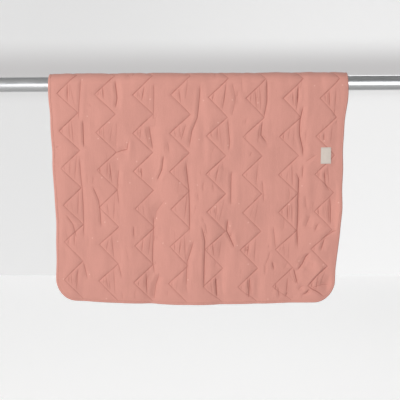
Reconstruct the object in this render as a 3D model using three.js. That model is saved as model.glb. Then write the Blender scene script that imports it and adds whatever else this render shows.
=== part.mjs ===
// A quilted baby duvet, folded once over a round rail.
// Units are millimetres. X runs along the rail, the front half faces -Y and +Z is up.
// The origin is the centre of the rail's left end face.
//
// A point of the cloth is named by its place on the flat cut: u across it from the left edge, and
// s along its middle surface from the crest over the rail, positive on the front half.

import * as THREE from 'three';

// Rail
const RAIL_LENGTH = 1000;
const RAIL_RADIUS = 17.5;
const RAIL_SIDES = 48;
const RAIL_CHAMFER = 1;

// Flat cut of the duvet
const CUT_WIDTH = 700;
const CUT_LENGTH = 1000;
const FRONT_LENGTH = 551;
const CORNER_RADIUS = 50;
const CLOTH_START_X = (RAIL_LENGTH - CUT_WIDTH) / 2;

// Edge binding, round the quilted body
const BINDING_WIDTH = 6.6;
const BINDING_HALF = 2.6;
const BINDING_SEAM_HALF = 2.3;
const SEAM_GAP = 0.35;
const BODY_INSET = BINDING_WIDTH + SEAM_GAP;
const BINDING_CREST = 0.6 * BODY_INSET;

// Zigzag quilting: the grid cells are a sixth of its pitch, so its lines run along cell diagonals
const CELLS_PER_PITCH = 6;
const CELLS_ACROSS = 47;
const CELLS_ALONG = 67;
const CELLS_ON_FRONT = 36;
const CELLS_TO_FIRST_POINT = 4;
const CELL_U = (CUT_WIDTH - 2 * BODY_INSET) / CELLS_ACROSS;
const CELL_S = (CUT_LENGTH - 2 * BODY_INSET) / CELLS_ALONG;
const PITCH_U = CELLS_PER_PITCH * CELL_U;
const PITCH_S = CELLS_PER_PITCH * CELL_S;
const SWING = PITCH_U / 2;
const INNER_EVERY = 3;

// The zigzags as sewn stray from their even pattern: they swing wider, slip to the right near the
// rail and sit lower towards the right edge. All of this fades out at the rim and round the corners.
const SEWN_WIDER = 1.5;
const SEWN_SLIP = { most: 4.4, lean: 1.3, at: 60, spread: 110 };
const SEWN_DROP = [
  { u: 0, down: -4.5 },
  { u: 65, down: -3.3 },
  { u: 153, down: -0.3 },
  { u: 328, down: 0.8 },
  { u: 372, down: 6.0 },
  { u: 460, down: 8.7 },
  { u: 700, down: 9.6 },
];
const SEWN_FADE = { rim: 40, nearCorner: 20, pastCorner: 60 };

// Body outline on the flat cut
const BODY = {
  left: BODY_INSET,
  right: CUT_WIDTH - BODY_INSET,
  back: FRONT_LENGTH - CUT_LENGTH + BODY_INSET,
  front: FRONT_LENGTH - BODY_INSET,
};
const BODY_CORNER = CORNER_RADIUS - BODY_INSET;
const POINT_U = BODY.left + CELLS_TO_FIRST_POINT * CELL_U;
const POINT_S = BODY.front - CELLS_ON_FRONT * CELL_S;

// Thickness, as half heights from the middle surface
const CHANNEL_HALF = 1.9;
const CROWN_HALF = 4.4;
const CROWN_RUN = 26;
const LINING_HALF = 3.3;
const RIM_HALF = 2.2;

// Bend over the rail
const RAIL_CLEARANCE = 0.8;
const BEND_RADIUS = RAIL_RADIUS + RAIL_CLEARANCE + LINING_HALF;
const BEND_ARC = BEND_RADIUS * Math.PI / 2;
const BULGE = { height: 3, at: 55, spread: 45 };
const FOLDS_START = 12;
const FOLDS_FULL = 90;
const HEM_SAG = 10;
const CORNER_RISE = { left: 4.5, right: -1.5 };

// How far each side edge is drawn in, at stations along the cut
const EDGE_DRAW = [
  { s: -449, left: 12.0, right: 22.0 },
  { s: -390, left: 12.0, right: 18.0 },
  { s: -320, left: 12.0, right: 14.0 },
  { s: -200, left: 8.0, right: 11.0 },
  { s: -90, left: 2.5, right: 5.0 },
  { s: 0, left: 0.0, right: 0.0 },
  { s: 70, left: 1.2, right: 0.7 },
  { s: 135, left: 4.2, right: 8.5 },
  { s: 190, left: 6.0, right: 9.6 },
  { s: 260, left: 7.0, right: 10.3 },
  { s: 330, left: 10.8, right: 10.5 },
  { s: 375, left: 11.0, right: 13.5 },
  { s: 415, left: 10.6, right: 18.5 },
  { s: 451, left: 9.5, right: 22.0 },
  { s: 495, left: 8.5, right: 25.5 },
  { s: 551, left: 7.5, right: 26.5 },
];
const EDGE_SCALLOP = { depth: 0.6, sharpness: 8 };

// Vertical folds that run down the cloth through the right-hand points of each zigzag:
// depth below the rail, halfway down and at the hem, for the front and the back half
const FOLDS = [
  { column: 0, under: 2.5, middle: 3.5, hem: 3.0, back: 3.5 },
  { column: 1, under: 2.0, middle: 2.5, hem: 2.5, back: 2.5 },
  { column: 2, under: 1.5, middle: 4.0, hem: 7.0, back: 3.0 },
  { column: 3, under: 2.5, middle: 5.0, hem: 4.0, back: 4.0 },
  { column: 4, under: 2.5, middle: 3.0, hem: 5.5, back: 2.0 },
  { column: 5, under: 2.0, middle: 3.0, hem: 4.5, back: 4.5 },
  { column: 6, under: 2.5, middle: 5.5, hem: 6.0, back: 3.0 },
  { column: 7, under: 3.0, middle: 3.5, hem: 5.0, back: 3.5 },
];
const FOLD_HALF_WIDTH = 17;

// Slow waves of the hanging halves, so that no two parts of the hem stand alike
const HEM_WAVES = [
  { length: 310, height: 3.5, phase: 0.6 },
  { length: 173, height: 2.0, phase: 2.1 },
];

// Label
const LABEL = { u: 658, s: 201, width: 23, height: 38, thick: 0.9, cellsAcross: 4, cellsUp: 6 };
const LABEL_LIFT = { left: 4.9, right: 3.9 };

const FINISH = {
  cloth: { color: 0xd49689, roughness: 0.9, metalness: 0 },
  binding: { color: 0xd19285, roughness: 0.9, metalness: 0 },
  label: { color: 0xcbc4b8, roughness: 0.8, metalness: 0 },
  rail: { color: 0xc9cacb, roughness: 0.32, metalness: 1 },
};

function clamp01(value) {
  return Math.min(1, Math.max(0, value));
}

function ease(value) {
  const t = clamp01(value);
  return t * t * (3 - 2 * t);
}

// Value of one named column of a table, on the cubic curve through its rows whose slope at each row
// is the slope between the rows beside it.
function smoothed(table, key, name, at) {
  const above = table.findIndex((row) => row[key] > at);
  const high = above < 0 ? table.length - 1 : Math.max(1, above);
  const low = high - 1;
  const slope = (i) => {
    const before = table[Math.max(0, i - 1)];
    const after = table[Math.min(table.length - 1, i + 1)];
    return (after[name] - before[name]) / (after[key] - before[key]);
  };
  const span = table[high][key] - table[low][key];
  const share = clamp01((at - table[low][key]) / span);
  const ends = span * share * (1 - share) * (slope(low) * (1 - share) - slope(high) * share);
  return THREE.MathUtils.lerp(table[low][name], table[high][name], ease(share)) + ends;
}

// Bend over the rail, then straight down with a slight bulge just below it.
function section(s) {
  const toFront = s < 0 ? 1 : -1;
  const run = Math.abs(s);
  if (run <= BEND_ARC) {
    const angle = run / BEND_RADIUS;
    const normal = new THREE.Vector2(toFront * Math.sin(angle), Math.cos(angle));
    return { drop: 0, normal, point: normal.clone().multiplyScalar(BEND_RADIUS) };
  }
  const drop = run - BEND_ARC;
  const bulge = BULGE.height * ease(drop / BULGE.at) * Math.exp(-(((drop - BULGE.at) / BULGE.spread) ** 2));
  return {
    drop,
    normal: new THREE.Vector2(toFront, 0),
    point: new THREE.Vector2(toFront * (BEND_RADIUS + bulge), -drop),
  };
}

// Depth of one fold at a distance below the rail.
function foldDepth(fold, s, drop) {
  const share = drop / (FRONT_LENGTH - BEND_ARC);
  if (s < 0) return fold.back * ease(share);
  if (share < 0.5) return THREE.MathUtils.lerp(fold.under, fold.middle, ease(share * 2));
  return THREE.MathUtils.lerp(fold.middle, fold.hem, ease(share * 2 - 1));
}

// How far the folds and waves carry the middle surface outwards.
function foldLift(u, s, drop) {
  const shown = ease((drop - FOLDS_START) / (FOLDS_FULL - FOLDS_START));
  if (shown === 0) return 0;
  let lift = 0;
  for (const fold of FOLDS) {
    const across = (u - POINT_U - fold.column * PITCH_U) / FOLD_HALF_WIDTH;
    lift -= foldDepth(fold, s, drop) * Math.exp(-across * across);
  }
  const grow = drop / (FRONT_LENGTH - BEND_ARC);
  for (const wave of HEM_WAVES) {
    lift += grow * wave.height * Math.sin(2 * Math.PI * u / wave.length + wave.phase);
  }
  return lift * shown;
}

// A point of the cloth in space, lifted from its middle surface towards the outer face.
function place(u, s, lift) {
  const { drop, normal, point } = section(s);
  const left = smoothed(EDGE_DRAW, 's', 'left', s);
  const right = smoothed(EDGE_DRAW, 's', 'right', s);
  const centred = 2 * u / CUT_WIDTH - 1;
  const scallop = EDGE_SCALLOP.depth * Math.sign(centred) * centred ** EDGE_SCALLOP.sharpness
    * Math.cos(2 * Math.PI * (s - POINT_S) / PITCH_S);
  const x = CLOTH_START_X + left + u * (CUT_WIDTH - left - right) / CUT_WIDTH - scallop;
  const rise = centred < 0 ? CORNER_RISE.left : CORNER_RISE.right;
  const grow = drop / (FRONT_LENGTH - BEND_ARC);
  const sag = grow * (HEM_SAG - (HEM_SAG + rise) * centred * centred);
  const out = lift + foldLift(u, s, drop);
  return new THREE.Vector3(x, point.x + normal.x * out, point.y + normal.y * out - sag);
}

// Where a point of the even pattern lies on the cut as sewn.
function sewn(u, s) {
  const fromSide = Math.min(u - BODY.left, BODY.right - u);
  const fromHem = Math.min(s - BODY.back, BODY.front - s);
  const shownAcross = ease(fromSide / SEWN_FADE.rim);
  const shownDown = THREE.MathUtils.lerp(
    ease((fromHem - BODY_CORNER) / SEWN_FADE.pastCorner),
    ease(fromHem / SEWN_FADE.rim),
    ease((fromSide - SEWN_FADE.nearCorner) / SEWN_FADE.rim),
  );
  const slip = SEWN_SLIP.most * Math.sin(Math.PI * (u / CUT_WIDTH) ** SEWN_SLIP.lean)
    * Math.exp(-(((s - SEWN_SLIP.at) / SEWN_SLIP.spread) ** 2));
  const wider = SEWN_WIDER * Math.cos(2 * Math.PI * (u - POINT_U) / PITCH_U);
  return { u: u + (slip + wider) * shownAcross, s: s + smoothed(SEWN_DROP, 'u', 'down', u) * shownDown };
}

// Distance from a flat point to the nearest zigzag line, square to it.
function stitchDistance(u, s) {
  const turn = THREE.MathUtils.euclideanModulo((s - POINT_S) / PITCH_S, 1);
  const line = POINT_U - SWING * (1 - Math.abs(2 * turn - 1));
  const across = THREE.MathUtils.euclideanModulo(u - line + PITCH_U / 2, PITCH_U) - PITCH_U / 2;
  return Math.abs(across) * Math.SQRT1_2;
}

// How far a value reaches past the centre of the nearest corner's curve, zero between the corners.
function cornerReach(value, low, high) {
  return Math.min(0, value - low - BODY_CORNER) + Math.max(0, value - high + BODY_CORNER);
}

// Distance from a flat point to the rim of the body, no more than the corner radius.
function rimDistance(u, s) {
  const reachU = cornerReach(u, BODY.left, BODY.right);
  const reachS = cornerReach(s, BODY.back, BODY.front);
  return BODY_CORNER - Math.hypot(reachU, reachS);
}

// Height of the outer face: low in the channels and at the rim, crowned between them.
function outerHalf(u, s) {
  const rim = rimDistance(u, s);
  const crown = Math.sin(Math.PI / 2 * clamp01(Math.min(stitchDistance(u, s), rim) / CROWN_RUN));
  const foot = rim < CELL_U / 2 ? RIM_HALF : CHANNEL_HALF;
  return foot + (CROWN_HALF - foot) * crown;
}

// Depth of the face that lies on the rail, thinned towards the rim.
function innerHalf(u, s) {
  return RIM_HALF + (LINING_HALF - RIM_HALF) * ease(rimDistance(u, s) / CROWN_RUN);
}

// A point of the square grid, its corners drawn in to the round ones, with the way out of the cloth.
function flatPoint(u, s) {
  const reachU = cornerReach(u, BODY.left, BODY.right);
  const reachS = cornerReach(s, BODY.back, BODY.front);
  const reach = Math.hypot(reachU, reachS);
  if (reach === 0) return { u, s, outU: 0, outS: 0 };
  const draw = 1 - Math.max(Math.abs(reachU), Math.abs(reachS)) / reach;
  return { u: u - reachU * draw, s: s - reachS * draw, outU: reachU / reach, outS: reachS / reach };
}

// Stations across the body, and along it with half cells over the rail.
function stationsAcross() {
  return Array.from({ length: CELLS_ACROSS + 1 }, (_, i) => BODY.left + i * CELL_U);
}

function stationsAlong() {
  const stations = [];
  for (let i = 0; i <= CELLS_ALONG; i += 1) {
    const s = BODY.back + i * CELL_S;
    stations.push(s);
    if (i < CELLS_ALONG && Math.abs(s + CELL_S / 2) < BEND_ARC + CELL_S / 2) stations.push(s + CELL_S / 2);
  }
  return stations;
}

// Stations of the inner face: all of them over the rail and by the hems, and few elsewhere.
function thinned(stations) {
  return stations.filter((s, i) => {
    const nearHem = Math.min(s - BODY.back, BODY.front - s) < BODY_CORNER + CELL_S;
    return nearHem || Math.abs(s) < BEND_ARC + CELL_S || i % INNER_EVERY === 0;
  });
}

// Columns of points for one face, each point with its station; columns may have unlike stations.
function faceColumns(across, rowsOf, pointAt) {
  return across.map((u, i) => rowsOf(i).map((s) => ({ s, point: pointAt(u, s) })));
}

// Whether the zigzag moves to the right between two stations.
function zigzagLeans(low, high) {
  return THREE.MathUtils.euclideanModulo(((low + high) / 2 - POINT_S) / PITCH_S, 1) > 0.5;
}

// Triangles between two neighbouring columns, split the way the zigzag runs where stations agree.
function stripTriangles(left, right) {
  const triangles = [];
  let l = 0;
  let r = 0;
  while (l < left.length - 1 || r < right.length - 1) {
    const nextLeft = left[l + 1]?.s ?? Infinity;
    const nextRight = right[r + 1]?.s ?? Infinity;
    const level = nextLeft === nextRight;
    if (level ? !zigzagLeans(left[l].s, nextLeft) : nextLeft < nextRight) {
      triangles.push([left[l].point, left[l + 1].point, right[r].point]);
      l += 1;
    } else {
      triangles.push([left[l].point, right[r + 1].point, right[r].point]);
      r += 1;
    }
  }
  return triangles;
}

function faceTriangles(columns) {
  return columns.slice(1).flatMap((column, i) => stripTriangles(columns[i], column));
}

// The rim of a face in order: back hem, right edge, front hem, left edge.
function rimPoints(columns) {
  const ends = columns.map((column) => [column[0].point, column.at(-1).point]);
  return [
    ...ends.map(([back]) => back),
    ...columns.at(-1).slice(1, -1).map(({ point }) => point),
    ...ends.map(([, front]) => front).reverse(),
    ...columns[0].slice(1, -1).map(({ point }) => point).reverse(),
  ];
}

// A closed body from an upper and an under face with rims of equal length.
function layeredTriangles(upper, under) {
  const top = rimPoints(upper);
  const foot = rimPoints(under);
  const wall = top.flatMap((point, i) => {
    const next = (i + 1) % top.length;
    return [[point, top[next], foot[i]], [top[next], foot[next], foot[i]]];
  });
  const turned = faceTriangles(under).map(([p, q, r]) => [p, r, q]);
  return [...faceTriangles(upper), ...turned, ...wall];
}

function closedGeometry(triangles) {
  const numbers = new Map();
  const index = triangles.flat().map((point) => {
    if (!numbers.has(point)) numbers.set(point, numbers.size);
    return numbers.get(point);
  });
  const places = [...numbers.keys()].flatMap((point) => point.toArray());
  const geometry = new THREE.BufferGeometry();
  geometry.setAttribute('position', new THREE.Float32BufferAttribute(places, 3));
  geometry.setIndex(index);
  geometry.computeVertexNormals();
  return geometry;
}

function duvetGeometry() {
  const across = stationsAcross();
  const rows = stationsAlong();
  const innerRows = thinned(rows);
  const facePoint = (half, sign) => (column, row) => {
    const { u, s } = flatPoint(column, row);
    const onCut = sewn(u, s);
    return place(onCut.u, onCut.s, sign * half(u, s));
  };
  const innerRowsOf = (i) => (i === 0 || i === CELLS_ACROSS ? rows : innerRows);
  const outer = faceColumns(across, () => rows, facePoint(outerHalf, 1));
  const inner = faceColumns(across, innerRowsOf, facePoint(innerHalf, -1));
  return closedGeometry(layeredTriangles(outer, inner));
}

// A strip with a five-sided section, carried once round the rim of the body.
function bindingGeometry() {
  const profile = [
    { out: SEAM_GAP, lift: -BINDING_SEAM_HALF },
    { out: SEAM_GAP, lift: BINDING_SEAM_HALF },
    { out: BINDING_CREST, lift: BINDING_HALF },
    { out: BODY_INSET, lift: 0 },
    { out: BINDING_CREST, lift: -BINDING_HALF },
  ];
  const rim = rimPoints(faceColumns(stationsAcross(), stationsAlong, flatPoint));
  const rings = rim.map(({ u, s, outU, outS }) => {
    const seam = sewn(u, s);
    return profile.map(({ out, lift }) => place(seam.u + outU * out, seam.s + outS * out, lift));
  });
  const triangles = rings.flatMap((ring, i) => {
    const next = rings[(i + 1) % rings.length];
    return ring.flatMap((point, k) => {
      const up = (k + 1) % ring.length;
      return [[point, next[k], next[up]], [point, next[up], ring[up]]];
    });
  });
  return closedGeometry(triangles);
}

// A thin patch over the outer face.
function labelGeometry() {
  const { cellsAcross, cellsUp, width, height } = LABEL;
  const across = Array.from({ length: cellsAcross + 1 }, (_, i) => LABEL.u + width * (i / cellsAcross - 0.5));
  const rows = Array.from({ length: cellsUp + 1 }, (_, j) => LABEL.s + height * (j / cellsUp - 0.5));
  const { left, right } = LABEL_LIFT;
  const liftAt = (u) => THREE.MathUtils.mapLinear(u, across[0], across.at(-1), left, right);
  const layer = (extra) => faceColumns(across, () => rows, (u, s) => place(u, s, liftAt(u) + extra));
  return closedGeometry(layeredTriangles(layer(LABEL.thick), layer(0)));
}

// The bar turned about its own axis, with a small chamfer at each end.
function railGeometry() {
  const profile = [
    [0, 0],
    [RAIL_RADIUS - RAIL_CHAMFER, 0],
    [RAIL_RADIUS, RAIL_CHAMFER],
    [RAIL_RADIUS, RAIL_LENGTH - RAIL_CHAMFER],
    [RAIL_RADIUS - RAIL_CHAMFER, RAIL_LENGTH],
    [0, RAIL_LENGTH],
  ].map(([radius, height]) => new THREE.Vector2(radius, height));
  return new THREE.LatheGeometry(profile, RAIL_SIDES).rotateZ(-Math.PI / 2);
}

function addPiece(name, geometry, finish) {
  const piece = new THREE.Mesh(geometry, new THREE.MeshStandardMaterial(finish));
  piece.name = name;
  group.add(piece);
}

const group = new THREE.Group();
addPiece('duvet', duvetGeometry(), FINISH.cloth);
addPiece('binding', bindingGeometry(), FINISH.binding);
addPiece('label', labelGeometry(), FINISH.label);
addPiece('rail', railGeometry(), FINISH.rail);

export default group;
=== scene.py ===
"""A quilted baby duvet that hangs folded over a round rail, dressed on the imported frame.

A point of the cloth is named by its place in the sewn pattern, in metres: u across the cut from its
left edge, and s along its middle surface from the crest over the rail, positive on the front half.
X runs along the rail, the front half faces -Y and +Z is up.
"""

import math

import bpy
import numpy as np
from bpy.props import FloatProperty, FloatVectorProperty, PointerProperty
from bpy.types import Operator, Panel, PropertyGroup
from mathutils import Matrix, Vector


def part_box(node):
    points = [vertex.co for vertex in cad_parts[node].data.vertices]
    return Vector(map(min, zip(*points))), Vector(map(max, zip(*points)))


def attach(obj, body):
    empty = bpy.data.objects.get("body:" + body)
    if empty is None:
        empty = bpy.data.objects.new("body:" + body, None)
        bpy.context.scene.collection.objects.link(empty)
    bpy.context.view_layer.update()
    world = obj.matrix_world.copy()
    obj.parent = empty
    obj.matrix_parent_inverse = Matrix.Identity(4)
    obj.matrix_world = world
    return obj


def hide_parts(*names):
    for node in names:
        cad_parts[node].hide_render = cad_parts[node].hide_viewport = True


bl_info = {
    "name": "Folded Duvet on a Rail",
    "version": (1, 0, 0),
    "blender": (4, 5, 0),
    "location": "3D View > Sidebar > Duvet",
    "description": "Sews a zigzag-quilted baby duvet, hangs it over a rail and lights it",
    "category": "Object",
}

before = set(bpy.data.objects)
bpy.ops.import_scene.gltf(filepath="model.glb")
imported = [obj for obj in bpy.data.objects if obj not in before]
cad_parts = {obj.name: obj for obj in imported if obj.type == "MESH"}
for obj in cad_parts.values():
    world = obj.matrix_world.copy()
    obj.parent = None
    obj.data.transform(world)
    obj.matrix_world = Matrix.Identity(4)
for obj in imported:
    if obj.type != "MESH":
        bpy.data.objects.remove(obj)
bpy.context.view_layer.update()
RAIL_LOW, RAIL_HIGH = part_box("rail")

MM = 0.001
FINE = 5  # outer face points to a cell of the quilting grid
CELLS_ACROSS = 47
CELLS_ALONG = 67
CELLS_ON_FRONT = 36
CELLS_TO_FIRST_POINT = 4
CELLS_PER_PITCH = 6
SEAM_GAP = 0.35 * MM
EDGE_ANGLE = math.radians(55)
BEND_CLEARANCE = 0.8 * MM
LEAST_HEIGHT = 0.4 * MM  # of the outer face over the middle surface
RIDGE = 0.35 * MM  # on the inner face, under each sewn line
LABEL_PLACE = (658 * MM, 191.5 * MM)
LABEL_THICKNESS = 0.45 * MM
LABEL_LIFT = 0.35 * MM  # between the cloth and the label
LABEL_MARGIN = 8 * MM  # creases and ripples grow to their full height over this far round the label
LABEL_GRID = (24, 36)  # columns and rows
MARKED = ("creases", "puckers")  # the sets of lines that the mesh hands to its finish, which paints shade along them and dips them
NOISE_OUTPUT = "Factor" if bpy.app.version >= (5, 0, 0) else "Fac"

# The hanging cloth bulges a little below the rail, and its hem sags in the middle, rides up at the left
# corner and hangs down at the right one. The side edges go in and out with each zigzag
BULGE, BULGE_PLACE, BULGE_REACH = 3 * MM, 55 * MM, 45 * MM
SAG, RISE_LEFT, RISE_RIGHT = 10 * MM, 4.5 * MM, -1.5 * MM
SCALLOP = 0.6 * MM

# The zigzags swing wider than their grid and slip to the right in a bell below the rail
SWING_WIDER = 1.5 * MM
SLIP, SLIP_PLACE, SLIP_REACH = 4.4 * MM, 60 * MM, 110 * MM

# Distances over which shapes fade out
SIDE_FADE = 40 * MM  # the zigzags' shifts, at the sides and the hems
CORNER_FADE = 60 * MM  # their drop, past a round corner
RIM_FADE = 9 * MM  # creases and ripples, at the rim
SEWN_FADE = 3 * MM  # the pull of a sewn line
MARK_FADE = 5 * MM  # the painted shade of a crease in the finish
RIPPLE_FADE = 5 * MM  # ripples, at a sewn line or the rim
END_FADE = 12 * MM  # a crease, at either end

# How far each side edge is drawn in, at stations along the cut, in millimetres
DRAW_STATIONS = (-449, -390, -320, -200, -90, 0, 70, 135, 190, 260, 330, 375, 415, 451, 495, 551)
DRAW_LEFT = (12, 12, 12, 8, 2.5, 0, 1.2, 4.2, 6, 7, 10.8, 11, 10.6, 9.5, 8.5, 7.5)
DRAW_RIGHT = (22, 18, 14, 11, 5, 0, 0.7, 8.5, 9.6, 10.3, 10.5, 13.5, 18.5, 22, 25.5, 26.5)

# How far below the even pattern the zigzags are sewn, at places across the cut, in millimetres
SEWN_ACROSS = (0, 65, 153, 328, 372, 460, 700)
SEWN_DROP = (-4.5, -3.3, -0.3, 0.8, 6, 8.7, 9.6)

# Depth of the vertical fold through each column of right-hand points, in millimetres
FOLDS_UNDER = (2.5, 2.0, 1.5, 2.5, 2.5, 2.0, 2.5, 3.0)
FOLDS_MIDDLE = (3.5, 2.5, 4.0, 5.0, 3.0, 3.0, 1.5, 3.5)
FOLDS_HEM = (3.0, 2.5, 7.0, 4.0, 5.5, 4.5, 3.0, 5.0)
FOLDS_BACK = (3.5, 2.5, 3.0, 4.0, 2.0, 4.5, 3.0, 3.5)
FOLD_HALF_WIDTH = 17 * MM
FOLD_SHARE = 0.55  # the folds are cut shallower than in the solids, because the creases take up the rest
FOLD_START, FOLD_GROWTH = 12 * MM, 78 * MM  # how far below the rail's bend they start and grow

# Slow waves of the hanging halves: length, height and phase
HEM_WAVES = ((310 * MM, 3.5 * MM, 0.6), (173 * MM, 2.0 * MM, 2.1))

# Main creases of the front half, in millimetres: depth, half width, how far the cloth falls away
# to the right of the line, and the points (u, s) that the line passes
CREASES = (
    (0.8, 4, 0, (76, 23), (66, 118)),
    (1.3, 4, 0.8, (77, 118), (76, 185)),
    (0.9, 3, 0.5, (64, 201), (68, 284), (66, 403)),
    (0.9, 3, 0, (66, 456), (78, 499)),
    (1.3, 4, 0.5, (154, 24), (158, 66), (153, 90)),
    (0.8, 8, 0, (157, 118), (152, 183)),
    (1.1, 4, 0, (150, 193), (166, 187), (181, 184), (186, 163)),
    (0.8, 4, 0, (159, 229), (153, 276), (155, 314)),
    (0.8, 3, 0, (153, 452), (164, 490)),
    (0.7, 4, 0, (243, 31), (242, 116)),
    (1.6, 6, 0.8, (232, 128), (241, 185)),
    (1.2, 4, 0, (269, 196), (264, 231), (250, 257)),
    (1.4, 10, 0, (270, 300), (245, 329), (241, 360)),
    (1.0, 3, 0.5, (238, 337), (239, 448), (246, 480)),
    (2.4, 7, 0, (259, 477), (249, 504), (244, 541)),
    (1.4, 5, 0.8, (352, 30), (346, 109), (334, 141), (327, 182)),
    (1.2, 4, 0.5, (320, 206), (327, 275), (327, 381)),
    (1.3, 5, 0, (340, 393), (333, 422), (326, 446), (326, 507)),
    (0.9, 6, 0, (424, 22), (433, 59), (426, 100)),
    (1.0, 4, 0, (417, 105), (425, 157), (423, 180)),
    (1.4, 5, 0.5, (431, 225), (428, 307)),
    (1.6, 4, 0, (420, 338), (419, 367), (444, 407)),
    (1.3, 4, 0.8, (359, 356), (370, 392), (374, 508)),
    (1.5, 3, 0, (400, 476), (404, 530)),
    (1.2, 3, 0, (505, 13), (506, 64), (502, 105)),
    (1.2, 4, 0.6, (500, 109), (499, 143), (514, 161)),
    (0.8, 10, 0, (512, 150), (516, 176)),
    (0.7, 3, 0, (505, 247), (508, 299)),
    (1.4, 4, 0, (486, 476), (485, 534)),
    (1.3, 3, 0, (541, 438), (548, 462)),
    (0.9, 5, 0, (535, 354), (547, 410)),
    (0.8, 3, 0, (579, 29), (579, 72)),
    (1.5, 4, 0.5, (593, 74), (590, 108), (592, 142), (601, 176), (602, 195)),
    (1.0, 4, 0, (603, 211), (601, 246)),
    (1.8, 4, 8.0, (585, 228), (593, 246), (591, 294), (592, 367), (599, 411)),
    (0.9, 5, 0, (608, 206), (638, 188)),
    (0.8, 6, 0, (610, 282), (612, 318)),
    (1.2, 7, 0, (625, 330), (612, 362)),
    (2.0, 4, 0, (633, 419), (623, 430), (616, 447), (603, 463)),
    (2.2, 9, 2.0, (627, 424), (606, 452)),
    (1.5, 4, 1.0, (593, 456), (607, 497)),
    (0.9, 4, 0, (559, 498), (563, 536)),
    (0.9, 3, 0, (654, 39), (657, 80)),
    (0.8, 4, 0, (671, 79), (671, 102)),
    (1.1, 4, 0, (652, 137), (653, 160)),
    (0.7, 3, 0, (641, 223), (642, 247)),
    (1.1, 4, 0, (655, 228), (658, 259), (669, 276)),
    (1.1, 4, 0.5, (669, 288), (674, 356)),
    (1.0, 4, 0, (95, 271), (109, 306), (113, 372)),
    (0.9, 3, 0, (192, 362), (194, 393)),
    (0.6, 3, 0, (20, 181), (5, 188)),
    (1.0, 4, 0, (656, 388), (682, 371), (694, 369)),
    (0.9, 4, 0, (646, 348), (637, 372)),
    (1.2, 3, 4.0, (678, 457), (657, 478), (635, 500)),
    (1.0, 3, 0.8, (635, 501), (657, 523), (672, 537)),
    (0.8, 5, 0, (638, 506), (686, 509)),
    (1.4, 7, 0.5, (625, 498), (615, 503), (606, 512)),
    (1.8, 4, 0, (637, 505), (635, 515), (630, 522), (620, 528)),
    (1.2, 4, 0, (582, 516), (575, 536)),
    (1.6, 5, 0, (663, 384), (657, 418)),
    (0.8, 3, 0, (26, 345), (42, 368), (50, 400)),
)
FALL_RUNS = (8, 7)  # a fall is deepest this far from its line, and farther with its depth, in millimetres
CREASE_SCALE = 1.75  # how much deeper they are cut than the table says, because the filling softens them
BACK_SHARE, BACK_START = 0.78, 12  # the back's creases lie closer together and start below the crest
STREWN = 150  # small upright creases, over these stretches of the cut
STREWN_ACROSS, STREWN_ALONG = (15, 685), (-430, 520)

# Short creases in the zigzags' bends
PUCKER_PLACES = (0.22, 0.47, 0.74)  # shares of the swing
PUCKER_HALF_WIDTH = 2.6 * MM
BENDS = (16, 11)  # rows and columns of bends, and a few to spare

# Layers of uneven ripples: width and height of a patch, in millimetres, and its seed
RIPPLES = ((16, 52, 3), (31, 95, 4))

# Outer half of the binding's section, in millimetres: distance from the sewn edge, and height
BINDING_SECTION = (
    (0.1, 2.45), (0.7, 2.55), (1.2, 2.5), (1.7, 2.55), (2.9, 2.65), (4.1, 2.6),
    (5.1, 2.3), (6.0, 1.75), (6.6, 1.0), (6.95, 0.0),
)
BINDING_REACH = BINDING_SECTION[-1][0] * MM
BINDING_PULLS = 9.5 * MM  # between the puckers that its stitches make
BINDING_WANDER = 0.25 * MM  # how unevenly its outer edge runs

COTTON = {"Roughness": 0.9, "Sheen Weight": 0.12, "Sheen Roughness": 0.6, "Specular IOR Level": 0.25}
SPECK_WIDE, SPECK_TALL = 60 * MM, 47 * MM  # one speck at most to a cell of this size

# The camera stands a little to the right of the duvet's middle and just above the rail
CAMERA_PLACE = (0.5426, -2.247, 0.036)
CAMERA_TURNS = (-1.0, 7.9, -0.33)  # to the right, down and over, in degrees
CAMERA_LENS = 85.45


def measure(name, description, default):
    """A size that a maker would change."""
    return FloatProperty(name=name, description=description, default=default, unit="LENGTH")


def tone(name, description, default):
    """A colour that a maker would change."""
    return FloatVectorProperty(name=name, description=description, default=default, subtype="COLOR")


class DuvetSizes(PropertyGroup):
    """Sizes of the duvet and its label."""

    cut_width: measure("Cut width", "Width of the flat duvet", 0.7)
    cut_length: measure("Cut length", "Length of the flat duvet", 1.0)
    front_length: measure("Front length", "Cloth between the crest and the front hem", 0.551)
    corner_radius: measure("Corner radius", "Radius of the four corners", 0.05)
    binding_width: measure("Binding width", "Width of the sewn edge strip", 0.0066)
    crown_half: measure("Crown", "Height of the filled cloth over its middle", 0.0040)
    channel_half: measure("Channel", "Height of the cloth along a sewn line", 0.0025)
    lining_half: measure("Lining", "Depth of the face that lies on the rail", 0.0033)
    rim_half: measure("Rim", "Half thickness where the binding is sewn on", 0.0022)
    crown_run: measure("Crown run", "Distance from a sewn line to the full height", 0.026)
    pucker_height: measure("Pucker height", "Depth of the short creases inside the zigzags", 0.0010)
    ripple_height: measure("Ripple height", "Height of the uneven hand of the cloth", 0.0005)
    label_width: measure("Label width", "Width of the sewn label", 0.023)
    label_height: measure("Label height", "Height of the sewn label", 0.038)


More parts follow.
